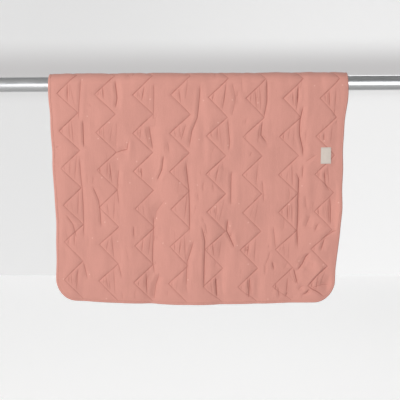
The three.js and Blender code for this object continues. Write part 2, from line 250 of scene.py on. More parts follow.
class DuvetColours(PropertyGroup):
    """Colours of the duvet, the rail and the room."""

    cloth: tone("Cloth", "Colour of the cotton", (0.62, 0.29, 0.24))
    thread: tone("Thread", "Colour of the sewing thread", (0.45, 0.17, 0.14))
    speck: tone("Speck", "Colour of the small pale dots", (0.80, 0.48, 0.40))
    label: tone("Label", "Colour of the woven label", (0.665, 0.586, 0.523))
    rail: tone("Rail", "Colour of the brushed metal", (0.78, 0.79, 0.80))
    floor: tone("Floor", "Colour of the floor", (0.82, 0.82, 0.82))
    wall: tone("Wall", "Colour of the far wall", (0.5, 0.5, 0.5))
    near_floor: tone("Near floor", "Colour of the floor below the rail", (0.62, 0.62, 0.62))
    ceiling: tone("Ceiling", "Colour of the ceiling", (0.36, 0.36, 0.36))


def ease(value):
    """A smooth step: three times the square less twice the cube of a share held between 0 and 1."""
    share = np.clip(value, 0, 1)
    return share * share * (3 - 2 * share)


def smoothed(stations, values, at):
    """Value, in metres, of a table in millimetres, on the cubic curve through its rows whose slope at
    each row is the slope between the rows beside it."""
    stations, values = (np.asarray(column, float) * MM for column in (stations, values))
    row = np.arange(len(values))
    before, after = np.maximum(row - 1, 0), np.minimum(row + 1, row[-1])
    slopes = (values[after] - values[before]) / (stations[after] - stations[before])
    high = np.clip(np.searchsorted(stations, at, side="right"), 1, row[-1])
    low = high - 1
    span = stations[high] - stations[low]
    share = np.clip((at - stations[low]) / span, 0, 1)
    ends = span * share * (1 - share) * (slopes[low] * (1 - share) - slopes[high] * share)
    return values[low] + (values[high] - values[low]) * ease(share) + ends


def patches(u, s, size_u, size_s, seed):
    """Smooth random heights: one normal number to each corner of a grid of size_u by size_s, eased
    between the corners along both ways. The grid starts 0.1 m left of the cut and 0.6 m behind the
    crest, so that it covers the whole cut."""
    rng = np.random.default_rng(seed)
    at_u, at_s = (u + 0.1) / size_u, (s + 0.6) / size_s
    corners = rng.standard_normal((int(1.4 / size_s) + 3, int(1.0 / size_u) + 3))
    low_u, low_s = np.floor(at_u).astype(int), np.floor(at_s).astype(int)
    share_u, share_s = ease(at_u - low_u), ease(at_s - low_s)
    top = corners[low_s, low_u] * (1 - share_u) + corners[low_s, low_u + 1] * share_u
    foot = corners[low_s + 1, low_u] * (1 - share_u) + corners[low_s + 1, low_u + 1] * share_u
    return top * (1 - share_s) + foot * share_s


class Cut:
    """The flat cut, its sewn pattern and the way it hangs over the rail, all in metres."""

    def __init__(self, sizes):
        self.sizes = sizes
        self.width = sizes.cut_width
        self.front = sizes.front_length
        inset = sizes.binding_width + SEAM_GAP
        self.cell_u = (sizes.cut_width - 2 * inset) / CELLS_ACROSS
        self.cell_s = (sizes.cut_length - 2 * inset) / CELLS_ALONG
        self.pitch_u = CELLS_PER_PITCH * self.cell_u
        self.pitch_s = CELLS_PER_PITCH * self.cell_s
        self.swing = self.pitch_u / 2
        self.low = (inset, sizes.front_length - sizes.cut_length + inset)
        self.high = (sizes.cut_width - inset, sizes.front_length - inset)
        self.corner = sizes.corner_radius - inset
        self.point_u = self.low[0] + CELLS_TO_FIRST_POINT * self.cell_u
        self.point_s = self.high[1] - CELLS_ON_FRONT * self.cell_s
        self.rail_radius = (RAIL_HIGH.z - RAIL_LOW.z) / 2
        self.bend = self.rail_radius + BEND_CLEARANCE + sizes.lining_half
        self.arc = self.bend * math.pi / 2
        self.start_x = (RAIL_LOW.x + RAIL_HIGH.x - sizes.cut_width) / 2

    def section(self, s):
        """Middle line seen along the rail: a half circle over it, then straight down, with a slight
        bulge just below it. Gives the drop, the normal's Y and Z, and the point's Y and Z."""
        side = np.where(s < 0, 1.0, -1.0)
        run = np.abs(s)
        drop = np.maximum(run - self.arc, 0)
        angle = np.minimum(run, self.arc) / self.bend
        bulge = BULGE * ease(drop / BULGE_PLACE) * np.exp(-(((drop - BULGE_PLACE) / BULGE_REACH) ** 2))
        normal_y, normal_z = side * np.sin(angle), np.where(drop > 0, 0.0, np.cos(angle))
        return drop, normal_y, normal_z, normal_y * (self.bend + bulge), normal_z * self.bend - drop

    def fold_lift(self, u, s, drop):
        """Folds and waves: for each column a bell-shaped trough, whose depth eases from under the
        rail to halfway down and on to the hem, and slow sine waves that grow with the drop."""
        share = drop / (self.front - self.arc)
        lift = np.zeros(np.broadcast(u, s).shape)
        for column, depths in enumerate(zip(FOLDS_UNDER, FOLDS_MIDDLE, FOLDS_HEM, FOLDS_BACK)):
            under, middle, hem, back = (depth * MM for depth in depths)
            upper = under + (middle - under) * ease(share * 2)
            lower = middle + (hem - middle) * ease(share * 2 - 1)
            depth = np.where(s < 0, back * ease(share), np.where(share < 0.5, upper, lower))
            across = (u - self.point_u - column * self.pitch_u) / FOLD_HALF_WIDTH
            lift = lift - FOLD_SHARE * depth * np.exp(-across * across)
        for length, height, phase in HEM_WAVES:
            lift = lift + share * height * np.sin(2 * math.pi * u / length + phase)
        return lift * ease((drop - FOLD_START) / FOLD_GROWTH)

    def hang(self, u, s, lift):
        """Places a flat point: across, the cut is drawn in at both edges; along, it follows the
        section, sagging towards the hem; and lift carries it along the section's normal."""
        drop, normal_y, normal_z, y, z = self.section(s)
        left = smoothed(DRAW_STATIONS, DRAW_LEFT, s)
        right = smoothed(DRAW_STATIONS, DRAW_RIGHT, s)
        centred = 2 * u / self.width - 1
        wave = np.cos(2 * math.pi * (s - self.point_s) / self.pitch_s)
        scallop = SCALLOP * np.sign(centred) * centred**8 * wave
        x = self.start_x + left + u * (self.width - left - right) / self.width - scallop
        rise = np.where(centred < 0, RISE_LEFT, RISE_RIGHT)
        grow = drop / (self.front - self.arc)
        sag = grow * (SAG - (SAG + rise) * centred * centred)
        out = lift + self.fold_lift(u, s, drop)
        return np.stack(np.broadcast_arrays(x, y + normal_y * out, z + normal_z * out - sag), -1)

    def reach(self, u, s):
        """How far a point reaches past the centre of the nearest corner's curve, across and along."""
        past = []
        for value, low, high in zip((u, s), self.low, self.high):
            past.append(np.minimum(0, value - low - self.corner) + np.maximum(0, value - high + self.corner))
        return past

    def rim_distance(self, u, s):
        """Distance to the rim of the quilted body, no more than the corner radius."""
        return self.corner - np.hypot(*self.reach(u, s))

    def rounded(self, u, s):
        """Draws the square grid's corners in to the round ones: a point keeps its direction from the
        centre of its corner, and its greater reach becomes its distance. Also gives the way out."""
        across, along = self.reach(u, s)
        distance = np.maximum(np.hypot(across, along), 1e-9)
        draw = np.where(distance > 1e-8, 1 - np.maximum(np.abs(across), np.abs(along)) / distance, 0)
        return u - across * draw, s - along * draw, across / distance, along / distance

    def sewn(self, u, s):
        """Where a point of the even pattern lies on the cut. The zigzags swing wider by a cosine of the
        pitch, slip to the right in a bell below the rail, and sit lower by SEWN_DROP. All of this
        fades out at the rim and round the corners."""
        from_side = np.minimum(u - self.low[0], self.high[0] - u)
        from_hem = np.minimum(s - self.low[1], self.high[1] - s)
        off_corner = ease(from_side / SIDE_FADE - 0.5)
        past_corner = ease((from_hem - self.corner) / CORNER_FADE)
        shown_down = past_corner + (ease(from_hem / SIDE_FADE) - past_corner) * off_corner
        bell = np.exp(-(((s - SLIP_PLACE) / SLIP_REACH) ** 2))
        slip = SLIP * np.sin(math.pi * np.clip(u / self.width, 0, 1) ** 1.3) * bell
        wider = SWING_WIDER * np.cos(2 * math.pi * (u - self.point_u) / self.pitch_u)
        on_cut = u + (slip + wider) * ease(from_side / SIDE_FADE)
        return on_cut, s + smoothed(SEWN_ACROSS, SEWN_DROP, u) * shown_down

    def stitch_distance(self, u, s):
        """Distance to the nearest zigzag line, square to it: the line swings left and back once a
        pitch, and repeats across at each pitch."""
        turn = np.mod((s - self.point_s) / self.pitch_s, 1)
        line = self.point_u - self.swing * (1 - np.abs(2 * turn - 1))
        across = np.mod(u - line + self.pitch_u / 2, self.pitch_u) - self.pitch_u / 2
        return np.abs(across) * math.sqrt(0.5)

    def crown(self, u, s):
        """Filled height between the sewn lines: a third of the rise from the channel to the crown is
        a quarter sine, and the rest an exponential that is done near the line. It is gentler at the
        rim, where the binding holds the cloth."""
        distance = np.minimum(self.stitch_distance(u, s), 0.4 * self.rim_distance(u, s))
        slow = np.sin(math.pi / 2 * np.clip(distance / self.sizes.crown_run, 0, 1))
        rise = (slow + 2 - 2 * np.exp(-distance / SEWN_FADE)) / 3
        return self.sizes.channel_half + (self.sizes.crown_half - self.sizes.channel_half) * rise

    def inner(self, u, s):
        """Depth of the face that lies on the rail, thinned towards the rim."""
        share = ease(self.rim_distance(u, s) / self.sizes.crown_run)
        return self.sizes.rim_half + (self.sizes.lining_half - self.sizes.rim_half) * share


def fold_profile(offset, half_width, lean=1.25):
    """Section of a crease at a signed distance from its line: a sharp valley that recovers faster on
    its left than on its right, where it is lean times as wide, with a low lip on each side."""
    across = offset / (half_width * np.where(offset < 0, 0.75, lean))
    return -np.exp(-np.abs(across)) + 0.3 * np.exp(-((np.abs(across) - 2.2) ** 2))


def mark(marks, offset, strength):
    """Notes a line for the finish where it is the strongest: the signed distance to it, in
    millimetres, and its strength, which ends MARK_FADE away from it. The finish paints shade along it."""
    near = strength * ease((MARK_FADE - np.abs(offset)) / (0.3 * MARK_FADE))
    stronger = near > marks[..., 1]
    marks[..., 0] = np.where(stronger, offset / MM, marks[..., 0])
    marks[..., 1] = np.where(stronger, near, marks[..., 1])


def puckers(cut, u, s, marks):
    """Short upright creases inside each zigzag's bend, at uneven distances from its left-hand point
    and up to as tall as the bend is there."""
    rng = np.random.default_rng(11)
    column = np.floor((u - cut.point_u + cut.swing) / cut.pitch_u).astype(int) + 1
    row = np.floor((s - cut.point_s) / cut.pitch_s).astype(int) + 8
    from_left = np.mod(u - cut.point_u + cut.swing, cut.pitch_u)
    from_middle = np.mod(s - cut.point_s, cut.pitch_s) - cut.pitch_s / 2
    heights = np.zeros(u.shape)
    for share in PUCKER_PLACES:
        at = (share + rng.uniform(-0.08, 0.08, BENDS)) * cut.swing
        strength = np.clip(rng.normal(0.62, 0.4, BENDS), 0, 1.3)[row, column]
        lean = rng.normal(0, 0.1, BENDS)
        tall = rng.uniform(0.55, 1.0, BENDS)[row, column]
        shift = rng.uniform(-1, 0.6, BENDS)[row, column]
        place = at[row, column] + lean[row, column] * from_middle
        half_tall = np.maximum(place * tall, 2 * MM)
        centre = shift * (np.maximum(place, 0) - half_tall)
        ends = np.sqrt(np.clip(1 - np.abs(from_middle - centre) / half_tall, 0, 1))
        offset = from_left - place
        heights += cut.sizes.pucker_height * strength * ends * fold_profile(offset, PUCKER_HALF_WIDTH)
        mark(marks, offset, 0.75 * strength * ends)
    return heights


def nearest_on_line(u, s, points):
    """Signed distance to a line of points, positive on its right where it runs down; how far along
    the line its nearest point lies; and the line's length."""
    points = np.asarray(points, float) * MM
    lengths = np.hypot(*np.diff(points, axis=0).T)
    travelled = np.concatenate([[0], np.cumsum(lengths)])
    nearest, side, travel = np.full(u.shape, np.inf), np.zeros(u.shape), np.zeros(u.shape)
    for start, end, length, before in zip(points[:-1], points[1:], lengths, travelled):
        way = (end - start) / length
        run = np.clip((u - start[0]) * way[0] + (s - start[1]) * way[1], 0, length)
        off_u, off_s = u - start[0] - way[0] * run, s - start[1] - way[1] * run
        distance = np.hypot(off_u, off_s)
        closer = distance < nearest
        nearest = np.where(closer, distance, nearest)
        side = np.where(closer, np.where(off_u * way[1] - off_s * way[0] < 0, -1, 1), side)
        travel = np.where(closer, before + run, travel)
    return nearest * side, travel, travelled[-1]


def crease(u, s, depth, half_width, fall, points, marks):
    """One crease along a line of points, in millimetres: the height of its trough, which fades out
    over both ends, and how far the whole cloth falls away on its right, steepest at the line. The
    fall fades out from the middle of the line and is gone some way beyond its deepest place."""
    offset, travel, length = nearest_on_line(u, s, points)
    run = np.clip(0.15 * length, END_FADE, length / 2)
    fade = ease(travel / run + 0.1) * ease((length - travel) / run + 0.1)
    right = np.maximum(offset, 0) / ((FALL_RUNS[0] + FALL_RUNS[1] * fall) * MM)
    mark(marks, offset, np.minimum(depth, 1.6) * 0.75 * fade * min(1, 6 / half_width**1.3))
    trough = depth * CREASE_SCALE * fold_profile(offset, half_width * MM, 1.25 + 0.8 * min(fall, 2))
    fall = fall * ease(2 * travel / length) * ease(2 - 2 * travel / length)
    return fade * MM * trough, -MM * fall * right * np.exp((1 - right * right) / 2)


def creases(cut, u, s, marks):
    """The main creases of the front; on the unseen back every other one of them, turned about and
    softer; and small upright ones strewn over both. Gives the troughs and the falls."""
    parts = [crease(u, s, *row[:3], row[3:], marks) for row in CREASES]
    for depth, half_width, _, *points in CREASES[::2]:
        turned = [(cut.width / MM - across, -BACK_SHARE * along - BACK_START) for across, along in points]
        parts.append(crease(u, s, 0.8 * depth, 1.2 * half_width, 0, turned[::-1], marks))
    rng = np.random.default_rng(23)
    for _ in range(STREWN):
        at_u, at_s = rng.uniform(*STREWN_ACROSS), rng.uniform(*STREWN_ALONG)
        tall, lean, bow = rng.uniform(9, 42), rng.normal(0, 0.18), rng.normal(0, 1.5)
        bent = (at_u + lean * tall / 2 + bow, at_s + tall / 2)
        points = ((at_u, at_s), bent, (at_u + lean * tall, at_s + tall))
        parts.append(crease(u, s, rng.uniform(0.2, 0.6), rng.uniform(3, 6), 0, points, marks))
    return sum(trough for trough, _ in parts), sum(fallen for _, fallen in parts)


def outer_face(cut, u, s):
    """Height of the outer face over the middle surface: the crown, with puckers, creases and uneven
    ripples that die out at the sewn lines, the rim and under the label. Also gives how far the whole
    cloth falls beside its creases, and the marks of its lines, along which the finish paints shade."""
    marks = np.zeros((2, *u.shape, 3))
    rim = cut.rim_distance(u, s)
    free = 1 - np.exp(-np.minimum(cut.stitch_distance(u, s), rim) / RIPPLE_FADE)
    ripples = sum(patches(u, s, wide * MM, tall * MM, seed) for wide, tall, seed in RIPPLES)
    beyond_u = np.abs(u - LABEL_PLACE[0]) - cut.sizes.label_width / 2
    beyond_s = np.abs(s - LABEL_PLACE[1]) - cut.sizes.label_height / 2
    shown = ease(rim / RIM_FADE) * ease((np.maximum(beyond_u, beyond_s) - 1 * MM) / LABEL_MARGIN)
    troughs, falls = creases(cut, u, s, marks[0])
    lines = troughs + puckers(cut, u, s, marks[1])
    detail = cut.sizes.ripple_height * ripples * free + lines * (0.45 + 0.55 * free)
    marks[..., 1] *= shown
    return np.maximum(cut.crown(u, s) + detail * shown, LEAST_HEIGHT), falls * shown, marks


def new_mesh(name, places, triangles, pattern):
    """A smooth mesh object from points, triangles and each point's place in its flat pattern. Edges
    past EDGE_ANGLE stay sharp, so that the cloth's face isn't shaded round its rim."""
    mesh = bpy.data.meshes.new(name)
    mesh.vertices.add(len(places))
    mesh.vertices.foreach_set("co", np.ascontiguousarray(places, np.float32).ravel())
    mesh.loops.add(triangles.size)
    mesh.loops.foreach_set("vertex_index", triangles.astype(np.int32).ravel())
    mesh.polygons.add(len(triangles))
    mesh.polygons.foreach_set("loop_start", np.arange(0, triangles.size, 3, dtype=np.int32))
    mesh.polygons.foreach_set("use_smooth", np.ones(len(triangles), bool))
    layer = mesh.uv_layers.new(name="cut")
    layer.data.foreach_set("uv", np.ascontiguousarray(pattern[triangles.ravel()], np.float32).ravel())
    mesh.update(calc_edges=True)
    mesh.validate()
    mesh.set_sharp_from_angle(angle=EDGE_ANGLE)
    piece = bpy.data.objects.new(name, mesh)
    bpy.context.scene.collection.objects.link(piece)
    return piece


def grid_triangles(index, leans):
    """Two triangles to each cell of a grid of point numbers, split from its first corner where leans
    is true and from its second where it is false. They face out where rows run down."""
    first, second = index[:-1, :-1].ravel(), index[:-1, 1:].ravel()
    third, fourth = index[1:, :-1].ravel(), index[1:, 1:].ravel()
    leans = leans.ravel()[:, None]
    one = np.where(leans, np.stack([first, fourth, second], 1), np.stack([first, third, second], 1))
    two = np.where(leans, np.stack([first, third, fourth], 1), np.stack([third, fourth, second], 1))
    return np.concatenate([one, two])


def strip_triangles(outer, inner):
    """A wall between two rows of point numbers of equal length."""
    first = np.stack([outer[:-1], inner[:-1], inner[1:]], 1)
    second = np.stack([outer[:-1], inner[1:], outer[1:]], 1)
    return np.concatenate([first, second])


def fan_triangles(outer, inner):
    """A wall between a fine row and a coarse one, FINE points to its one: two fans to a cell."""
    start, end = inner[:-1], inner[1:]
    fine = [outer[step :: FINE][: len(start)] for step in range(FINE)] + [outer[FINE::FINE]]
    middle = FINE // 2
    fans = [np.stack([fine[k], start if k < middle else end, fine[k + 1]], 1) for k in range(FINE)]
    return np.concatenate(fans + [np.stack([fine[middle], start, end], 1)])


def slab_triangles(top, below, leans, leans_below, end_wall):
    """A closed slab: its upper face, its lower face turned over, and a wall along each of its edges."""
    return np.concatenate([
        grid_triangles(top, leans),
        grid_triangles(below, leans_below)[:, ::-1],
        strip_triangles(top[:, 0], below[:, 0]),
        strip_triangles(top[:, -1], below[:, -1])[:, ::-1],
        end_wall(top[-1], below[-1]),
        end_wall(top[0], below[0])[:, ::-1],
    ])


def pattern_grid(cut):
    """The outer face's grid in the sewn pattern: rows from the back hem to the front, and columns
    from left to right, FINE to a cell."""
    across = cut.low[0] + cut.cell_u / FINE * np.arange(CELLS_ACROSS * FINE + 1)
    along = cut.low[1] + cut.cell_s / FINE * np.arange(CELLS_ALONG * FINE + 1)
    return np.meshgrid(across, along)


def duvet_mesh(cut):
    """The filled duvet as one closed mesh: a fine outer face, split along the zigzags, an inner face
    with every fifth column and slight ridges under the sewn lines, and a wall round the rim."""
    grid_u, grid_s = pattern_grid(cut)
    u, s, _, _ = cut.rounded(grid_u, grid_s)
    on_cut = cut.sewn(u, s)
    heights, falls, marks = outer_face(cut, u, s)
    outer = cut.hang(*on_cut, heights + falls)
    ridges = RIDGE * np.exp(-cut.stitch_distance(u, s) / SEWN_FADE)
    ridges = ridges * ease(cut.rim_distance(u, s) / RIM_FADE)
    inner = cut.hang(*on_cut, ridges + falls - cut.inner(u, s))[:, ::FINE]
    top = np.arange(u.size).reshape(u.shape)
    under = u.size + np.arange(inner[..., 0].size).reshape(inner.shape[:2])
    middle = (grid_s[:-1, :-1] + grid_s[1:, :-1]) / 2
    leans = np.mod((middle - cut.point_s) / cut.pitch_s, 1) > 0.5
    triangles = slab_triangles(top, under, leans, leans[:, ::FINE], fan_triangles)
    places = np.concatenate([outer.reshape(-1, 3), inner.reshape(-1, 3)])
    flat = np.stack([u, s], -1)
    pattern = np.concatenate([flat.reshape(-1, 2), flat[:, ::FINE].reshape(-1, 2)])
    piece = new_mesh("duvet_quilted", places, triangles, pattern)
    for name, mark_set in zip(MARKED, marks):
        values = np.zeros((len(places), 3))
        values[: u.size] = mark_set.reshape(-1, 3)
        layer = piece.data.attributes.new(name, "FLOAT_VECTOR", "POINT")
        layer.data.foreach_set("vector", np.ascontiguousarray(values, np.float32).ravel())
    return piece


def around(values):
    """The rim of a grid in order: back hem, right edge, front hem, left edge."""
    return np.concatenate([values[0], values[1:-1, -1], values[-1, ::-1], values[1:-1, 0][::-1]])


def binding_mesh(cut):
    """The edge strip: its rounded section carried once round the body's rim, with small ripples from
    the sewing. Its pattern gives the distance round the rim and the distance across the strip."""
    u, s, out_u, out_s = (around(values)[:, None] for values in cut.rounded(*pattern_grid(cut)))
    face = np.array(BINDING_SECTION) * MM
    section = np.concatenate([face, (face * (1, -1))[-2::-1]])[::-1]
    out, lift = section[:, 0], section[:, 1]
    step = np.hypot(np.diff(u[:, 0], append=u[0, 0]), np.diff(s[:, 0], append=s[0, 0]))
    travel = (np.cumsum(step) - step)[:, None]
    ripple = 0.14 * np.sin(2 * math.pi * travel / BINDING_PULLS + 2.2 * patches(u, s, 23 * MM, 23 * MM, 5))
    ripple = ripple + 0.10 * patches(u, s, 13 * MM, 13 * MM, 6)
    fullness = 1 + ripple * np.sin(math.pi * np.clip(out / BINDING_REACH, 0, 1))
    reach = out + BINDING_WANDER * patches(u, s, 37 * MM, 37 * MM, 7) * (out / BINDING_REACH) ** 2
    seam_u, seam_s = cut.sewn(u, s)
    places = cut.hang(seam_u + out_u * reach, seam_s + out_s * reach, lift * fullness)
    rings, points = places.shape[:2]
    index = np.arange(rings * points).reshape(rings, points)
    index = np.concatenate([index, index[:1]])
    index = np.concatenate([index, index[:, :1]], 1)
    across = np.concatenate([[0], np.cumsum(np.hypot(np.diff(out), np.diff(lift)))])
    pattern = np.stack(np.broadcast_arrays(travel, across[None, :]), -1).reshape(-1, 2)
    triangles = grid_triangles(index, np.ones((rings, points), bool))[:, ::-1]
    return new_mesh("binding_strip", places.reshape(-1, 3), triangles, pattern)


def label_mesh(cut):
    """The label as a thin closed slab laid over the crown and straight across the channel, its sewn
    top and bottom edges drawn down and its free side edges slightly lifted. Its pattern starts at its
    lower left corner."""
    columns, rows = LABEL_GRID
    half_w, half_h = cut.sizes.label_width / 2, cut.sizes.label_height / 2
    p, q = np.meshgrid(np.linspace(-1, 1, columns + 1), np.linspace(-1, 1, rows + 1))
    u, s = LABEL_PLACE[0] + p * half_w, LABEL_PLACE[1] + q * half_h
    under = np.maximum(cut.crown(u, s), cut.sizes.crown_half - 0.5 * MM) + LABEL_LIFT
    under = under + 0.25 * MM * (1 - q**6) + 0.18 * MM * p**4 * (1 - q**4)
    under = under + 0.12 * MM * np.sin(5 * p + 2 * q) * (1 - q**2)
    layers = [cut.hang(*cut.sewn(u, s), under + extra) for extra in (LABEL_THICKNESS, 0)]
    top = np.arange(u.size).reshape(u.shape)
    below = top + u.size
    split = np.zeros((rows, columns), bool)
    triangles = slab_triangles(top, below, split, split, strip_triangles)
    flat = np.stack([(p + 1) * half_w, (1 - q) * half_h], -1).reshape(-1, 2)
    places = np.concatenate([layer.reshape(-1, 3) for layer in layers])
    return new_mesh("label_woven", places, triangles, np.concatenate([flat, flat]))


def adds(operation):
    """A method of Number that adds the Math node of an operation."""

    def method(number, *others):
        return number.maths(operation, number, *others)

    return method


class Number:
    """A shader socket that carries a number; Python's operators on it add Math nodes."""

    __add__ = __radd__ = adds("ADD")
    __sub__ = adds("SUBTRACT")
    __mul__ = __rmul__ = adds("MULTIPLY")
    __truediv__ = adds("DIVIDE")
    __mod__ = adds("FLOORED_MODULO")
    __gt__ = adds("GREATER_THAN")
    __abs__ = adds("ABSOLUTE")
    sine = adds("SINE")
    floor = adds("FLOOR")

    def __init__(self, finish, socket):
        self.finish = finish
        self.socket = socket

    def __rsub__(self, other):
        return self.maths("SUBTRACT", other, self)

    def maths(self, operation, *values):
        sockets = dict(enumerate(values))
        return self.finish.node("ShaderNodeMath", {"operation": operation}, sockets)

    def ramp(self, start, end):
        """0 up to start and 1 from end on, eased between them; start may be the larger."""
        sockets = {"Value": self, "From Min": start, "From Max": end}
        return self.finish.node("ShaderNodeMapRange", {"interpolation_type": "SMOOTHSTEP"}, sockets)


class Finish:
    """One material: its Principled shader, whose steady values are set on its own sockets, and the
    nodes that feed it."""

    def __init__(self, name, steady):
        self.material = bpy.data.materials.new(name)
        self.material.use_nodes = True
        self.tree = self.material.node_tree
        self.tree.nodes.clear()
        self.shader = self.tree.nodes.new("ShaderNodeBsdfPrincipled")
        output = self.tree.nodes.new("ShaderNodeOutputMaterial")
        self.tree.links.new(self.shader.outputs["BSDF"], output.inputs["Surface"])
        for socket, value in steady.items():
            self.join(value, self.shader.inputs[socket])

    def join(self, value, socket):
        """Links a node's output to a socket, or sets the socket where value is a plain one."""
        value = value.socket if isinstance(value, Number) else value
        if isinstance(value, bpy.types.NodeSocket):
            self.tree.links.new(value, socket)
        elif socket.type == "RGBA" and len(value) == 3:
            socket.default_value = (*value, 1)
        else:
            socket.default_value = value

    def node(self, kind, settings=None, sockets=None, out=0):
        """Adds a node, makes its settings and joins its sockets; gives one of its outputs."""
        node = self.tree.nodes.new(kind)
        for setting, value in (settings or {}).items():
            setattr(node, setting, value)
        for socket, value in (sockets or {}).items():
            self.join(value, node.inputs[socket])
        found = node.outputs[out]
        return Number(self, found) if found.type == "VALUE" else found

    def pattern(self):
        """The piece's own flat pattern as two numbers, in metres."""
        return self.split(self.node("ShaderNodeUVMap", {"uv_map": "cut"}), (0, 1))

    def place(self):
        """The point's own coordinates, in metres, as a vector."""
        return self.node("ShaderNodeTexCoord", None, None, "Object")

    def split(self, vector, axes):
        """Some of a vector's parts as numbers."""
        return [self.node("ShaderNodeSeparateXYZ", None, {0: vector}, axis) for axis in axes]

    def vector(self, x, y, z=0.0):
        return self.node("ShaderNodeCombineXYZ", None, {0: x, 1: y, 2: z})

    def noise(self, place, detail=2.0, roughness=0.5):
        """Cloudy noise from 0 to 1, in patches about 1 across, at a place of two or three numbers."""
        place = self.vector(*place)
        sockets = {"Vector": place, "Scale": 1.0, "Detail": detail, "Roughness": roughness}
        return self.node("ShaderNodeTexNoise", None, sockets, NOISE_OUTPUT)

    def blend(self, share, one, other):
        """The first colour where share is 0 and the other where it is 1."""
        settings = {"data_type": "RGBA"}
        return self.node("ShaderNodeMix", settings, {"Factor": share, 6: one, 7: other}, 2)

    def finished(self, colour, roughness=None, height=None):
        """Feeds the shader; height is in metres and bends the normal."""
        self.join(colour, self.shader.inputs["Base Color"])
        if roughness is not None:
            self.join(roughness, self.shader.inputs["Roughness"])
        if height is not None:
            bump = self.node("ShaderNodeBump", None, {"Height": height, "Distance": 1.0, "Strength": 1.0})
            self.join(bump, self.shader.inputs["Normal"])
        return self.material


def shade(colour, share):
    """A colour made lighter or darker by a share of itself."""
    return [channel * share for channel in colour]


def weave_height(u, s, pitch):
    """Plain weave: warp and weft threads that cross over in turn, as a product of two sines."""
    turns = 2 * math.pi / pitch
    return (u * turns).sine() * (s * turns).sine()


def stitches(along, pitch, full=0.38):
    """Dashes of thread along a line, one to a pitch: 1 in the middle of each and 0 between them."""
    return abs((along / pitch) % 1.0 - 0.5).ramp(0.46, full)


def crease_shade_mask(cotton):
    """The lines of the creases and the puckers, from the marks that the mesh carries: where the finish
    paints shade and dips the cloth.
    """
    folded = []
    for name in MARKED:
        lines = cotton.node("ShaderNodeAttribute", {"attribute_name": name}, None, "Vector")
        offset, strength = cotton.split(lines, (0, 1))
        folded.append(abs(offset).ramp(1.8, 0.1) * strength)
    return folded[0] + folded[1]


def pale_specks(cotton, u, s):
    """Small dots on a staggered grid: each cell's random number moves its dot away from the middle,
    and six in ten cells have none."""
    row = (s / SPECK_TALL).floor()
    column = u / SPECK_WIDE + (row * 0.5) % 1.0
    seed = {"Vector": cotton.vector(column.floor(), row)}
    wander = cotton.node("ShaderNodeTexWhiteNoise", {"noise_dimensions": "2D"}, seed, "Value")
    off_u = (column % 1.0 - 0.5) * SPECK_WIDE + (wander - 0.5) * (22 * MM)
    off_s = ((s / SPECK_TALL) % 1.0 - 0.5) * SPECK_TALL + ((wander * 7.3) % 1.0 - 0.5) * (18 * MM)
    dot = (off_u * off_u + off_s * off_s).ramp((2.5 * MM) ** 2, (0.6 * MM) ** 2)
    return dot * (((wander * 3.7) % 1.0) > 0.6)


def quilted_cotton(cut, colours):
    """Matt cotton: plain weave, fine upright wrinkles, thread dashes along the zigzags with the cloth drawn
    down beside them and painted shade in that dip, painted shade along the creases and puckers, a few pale
    specks and slight clouds in its colour."""
    cotton = Finish("quilted_cotton", COTTON)
    u, s = cotton.pattern()
    turn = ((s - cut.point_s) / cut.pitch_s) % 1.0
    line = cut.point_u - cut.swing * (1 - abs(turn * 2 - 1))
    across = abs((u - line + cut.pitch_u / 2) % cut.pitch_u - cut.pitch_u / 2) * math.sqrt(0.5)
    uneven = cotton.noise((u * 60, s * 60)).ramp(0.25, 0.75)
    thread = across.ramp(0.75 * MM, 0.3 * MM) * stitches(s * math.sqrt(2), 3.4 * MM)
    # drawn marks the dip beside each sewn line, and the painted shade laid in it
    drawn = across.ramp(1.5 * MM, 0.15 * MM) * (0.4 + uneven * 0.6)
    # Painted shade along the creases and puckers; the same mask dips them in the bump
    crease_shade = crease_shade_mask(cotton)
    wrinkles = cotton.noise((u * 150, s * 34), 3.0, 0.55)
    clouds = cotton.noise((u * 9, s * 7), 3.0, 0.6)
    slubs = cotton.noise((u * 900, s * 160), 1.0)
    # The darker, redder colour of the painted shade in the dips and the creases
    painted_shade_colour = [channel * share for channel, share in zip(colours.cloth, (0.66, 0.48, 0.46))]
    base_colour = cotton.blend(clouds.ramp(0.3, 0.7), shade(colours.cloth, 0.965), shade(colours.cloth, 1.03))
    base_colour = cotton.blend(slubs.ramp(0.55, 0.8) * 0.35, base_colour, shade(colours.cloth, 1.12))
    # Painted shade beside the sewn lines, stronger on the half of each zigzag that runs down to the left, as
    # if lit from the upper left
    base_colour = cotton.blend(drawn * (0.95 - (turn > 0.5) * 0.45), base_colour, painted_shade_colour)
    # Painted shade along the creases and puckers
    base_colour = cotton.blend(crease_shade * 0.95, base_colour, painted_shade_colour)
    base_colour = cotton.blend(pale_specks(cotton, u, s) * 0.45, base_colour, colours.speck)
    base_colour = cotton.blend(thread * 0.3, base_colour, colours.thread)
    height = weave_height(u, s, 0.9 * MM) * (0.022 * MM) + (wrinkles - 0.5) * (0.42 * MM)
    height = height + thread * (0.16 * MM) - drawn * (0.5 * MM) - crease_shade * (0.5 * MM) + slubs * (0.03 * MM)
    return cotton.finished(base_colour, 0.84 + clouds * 0.12, height)


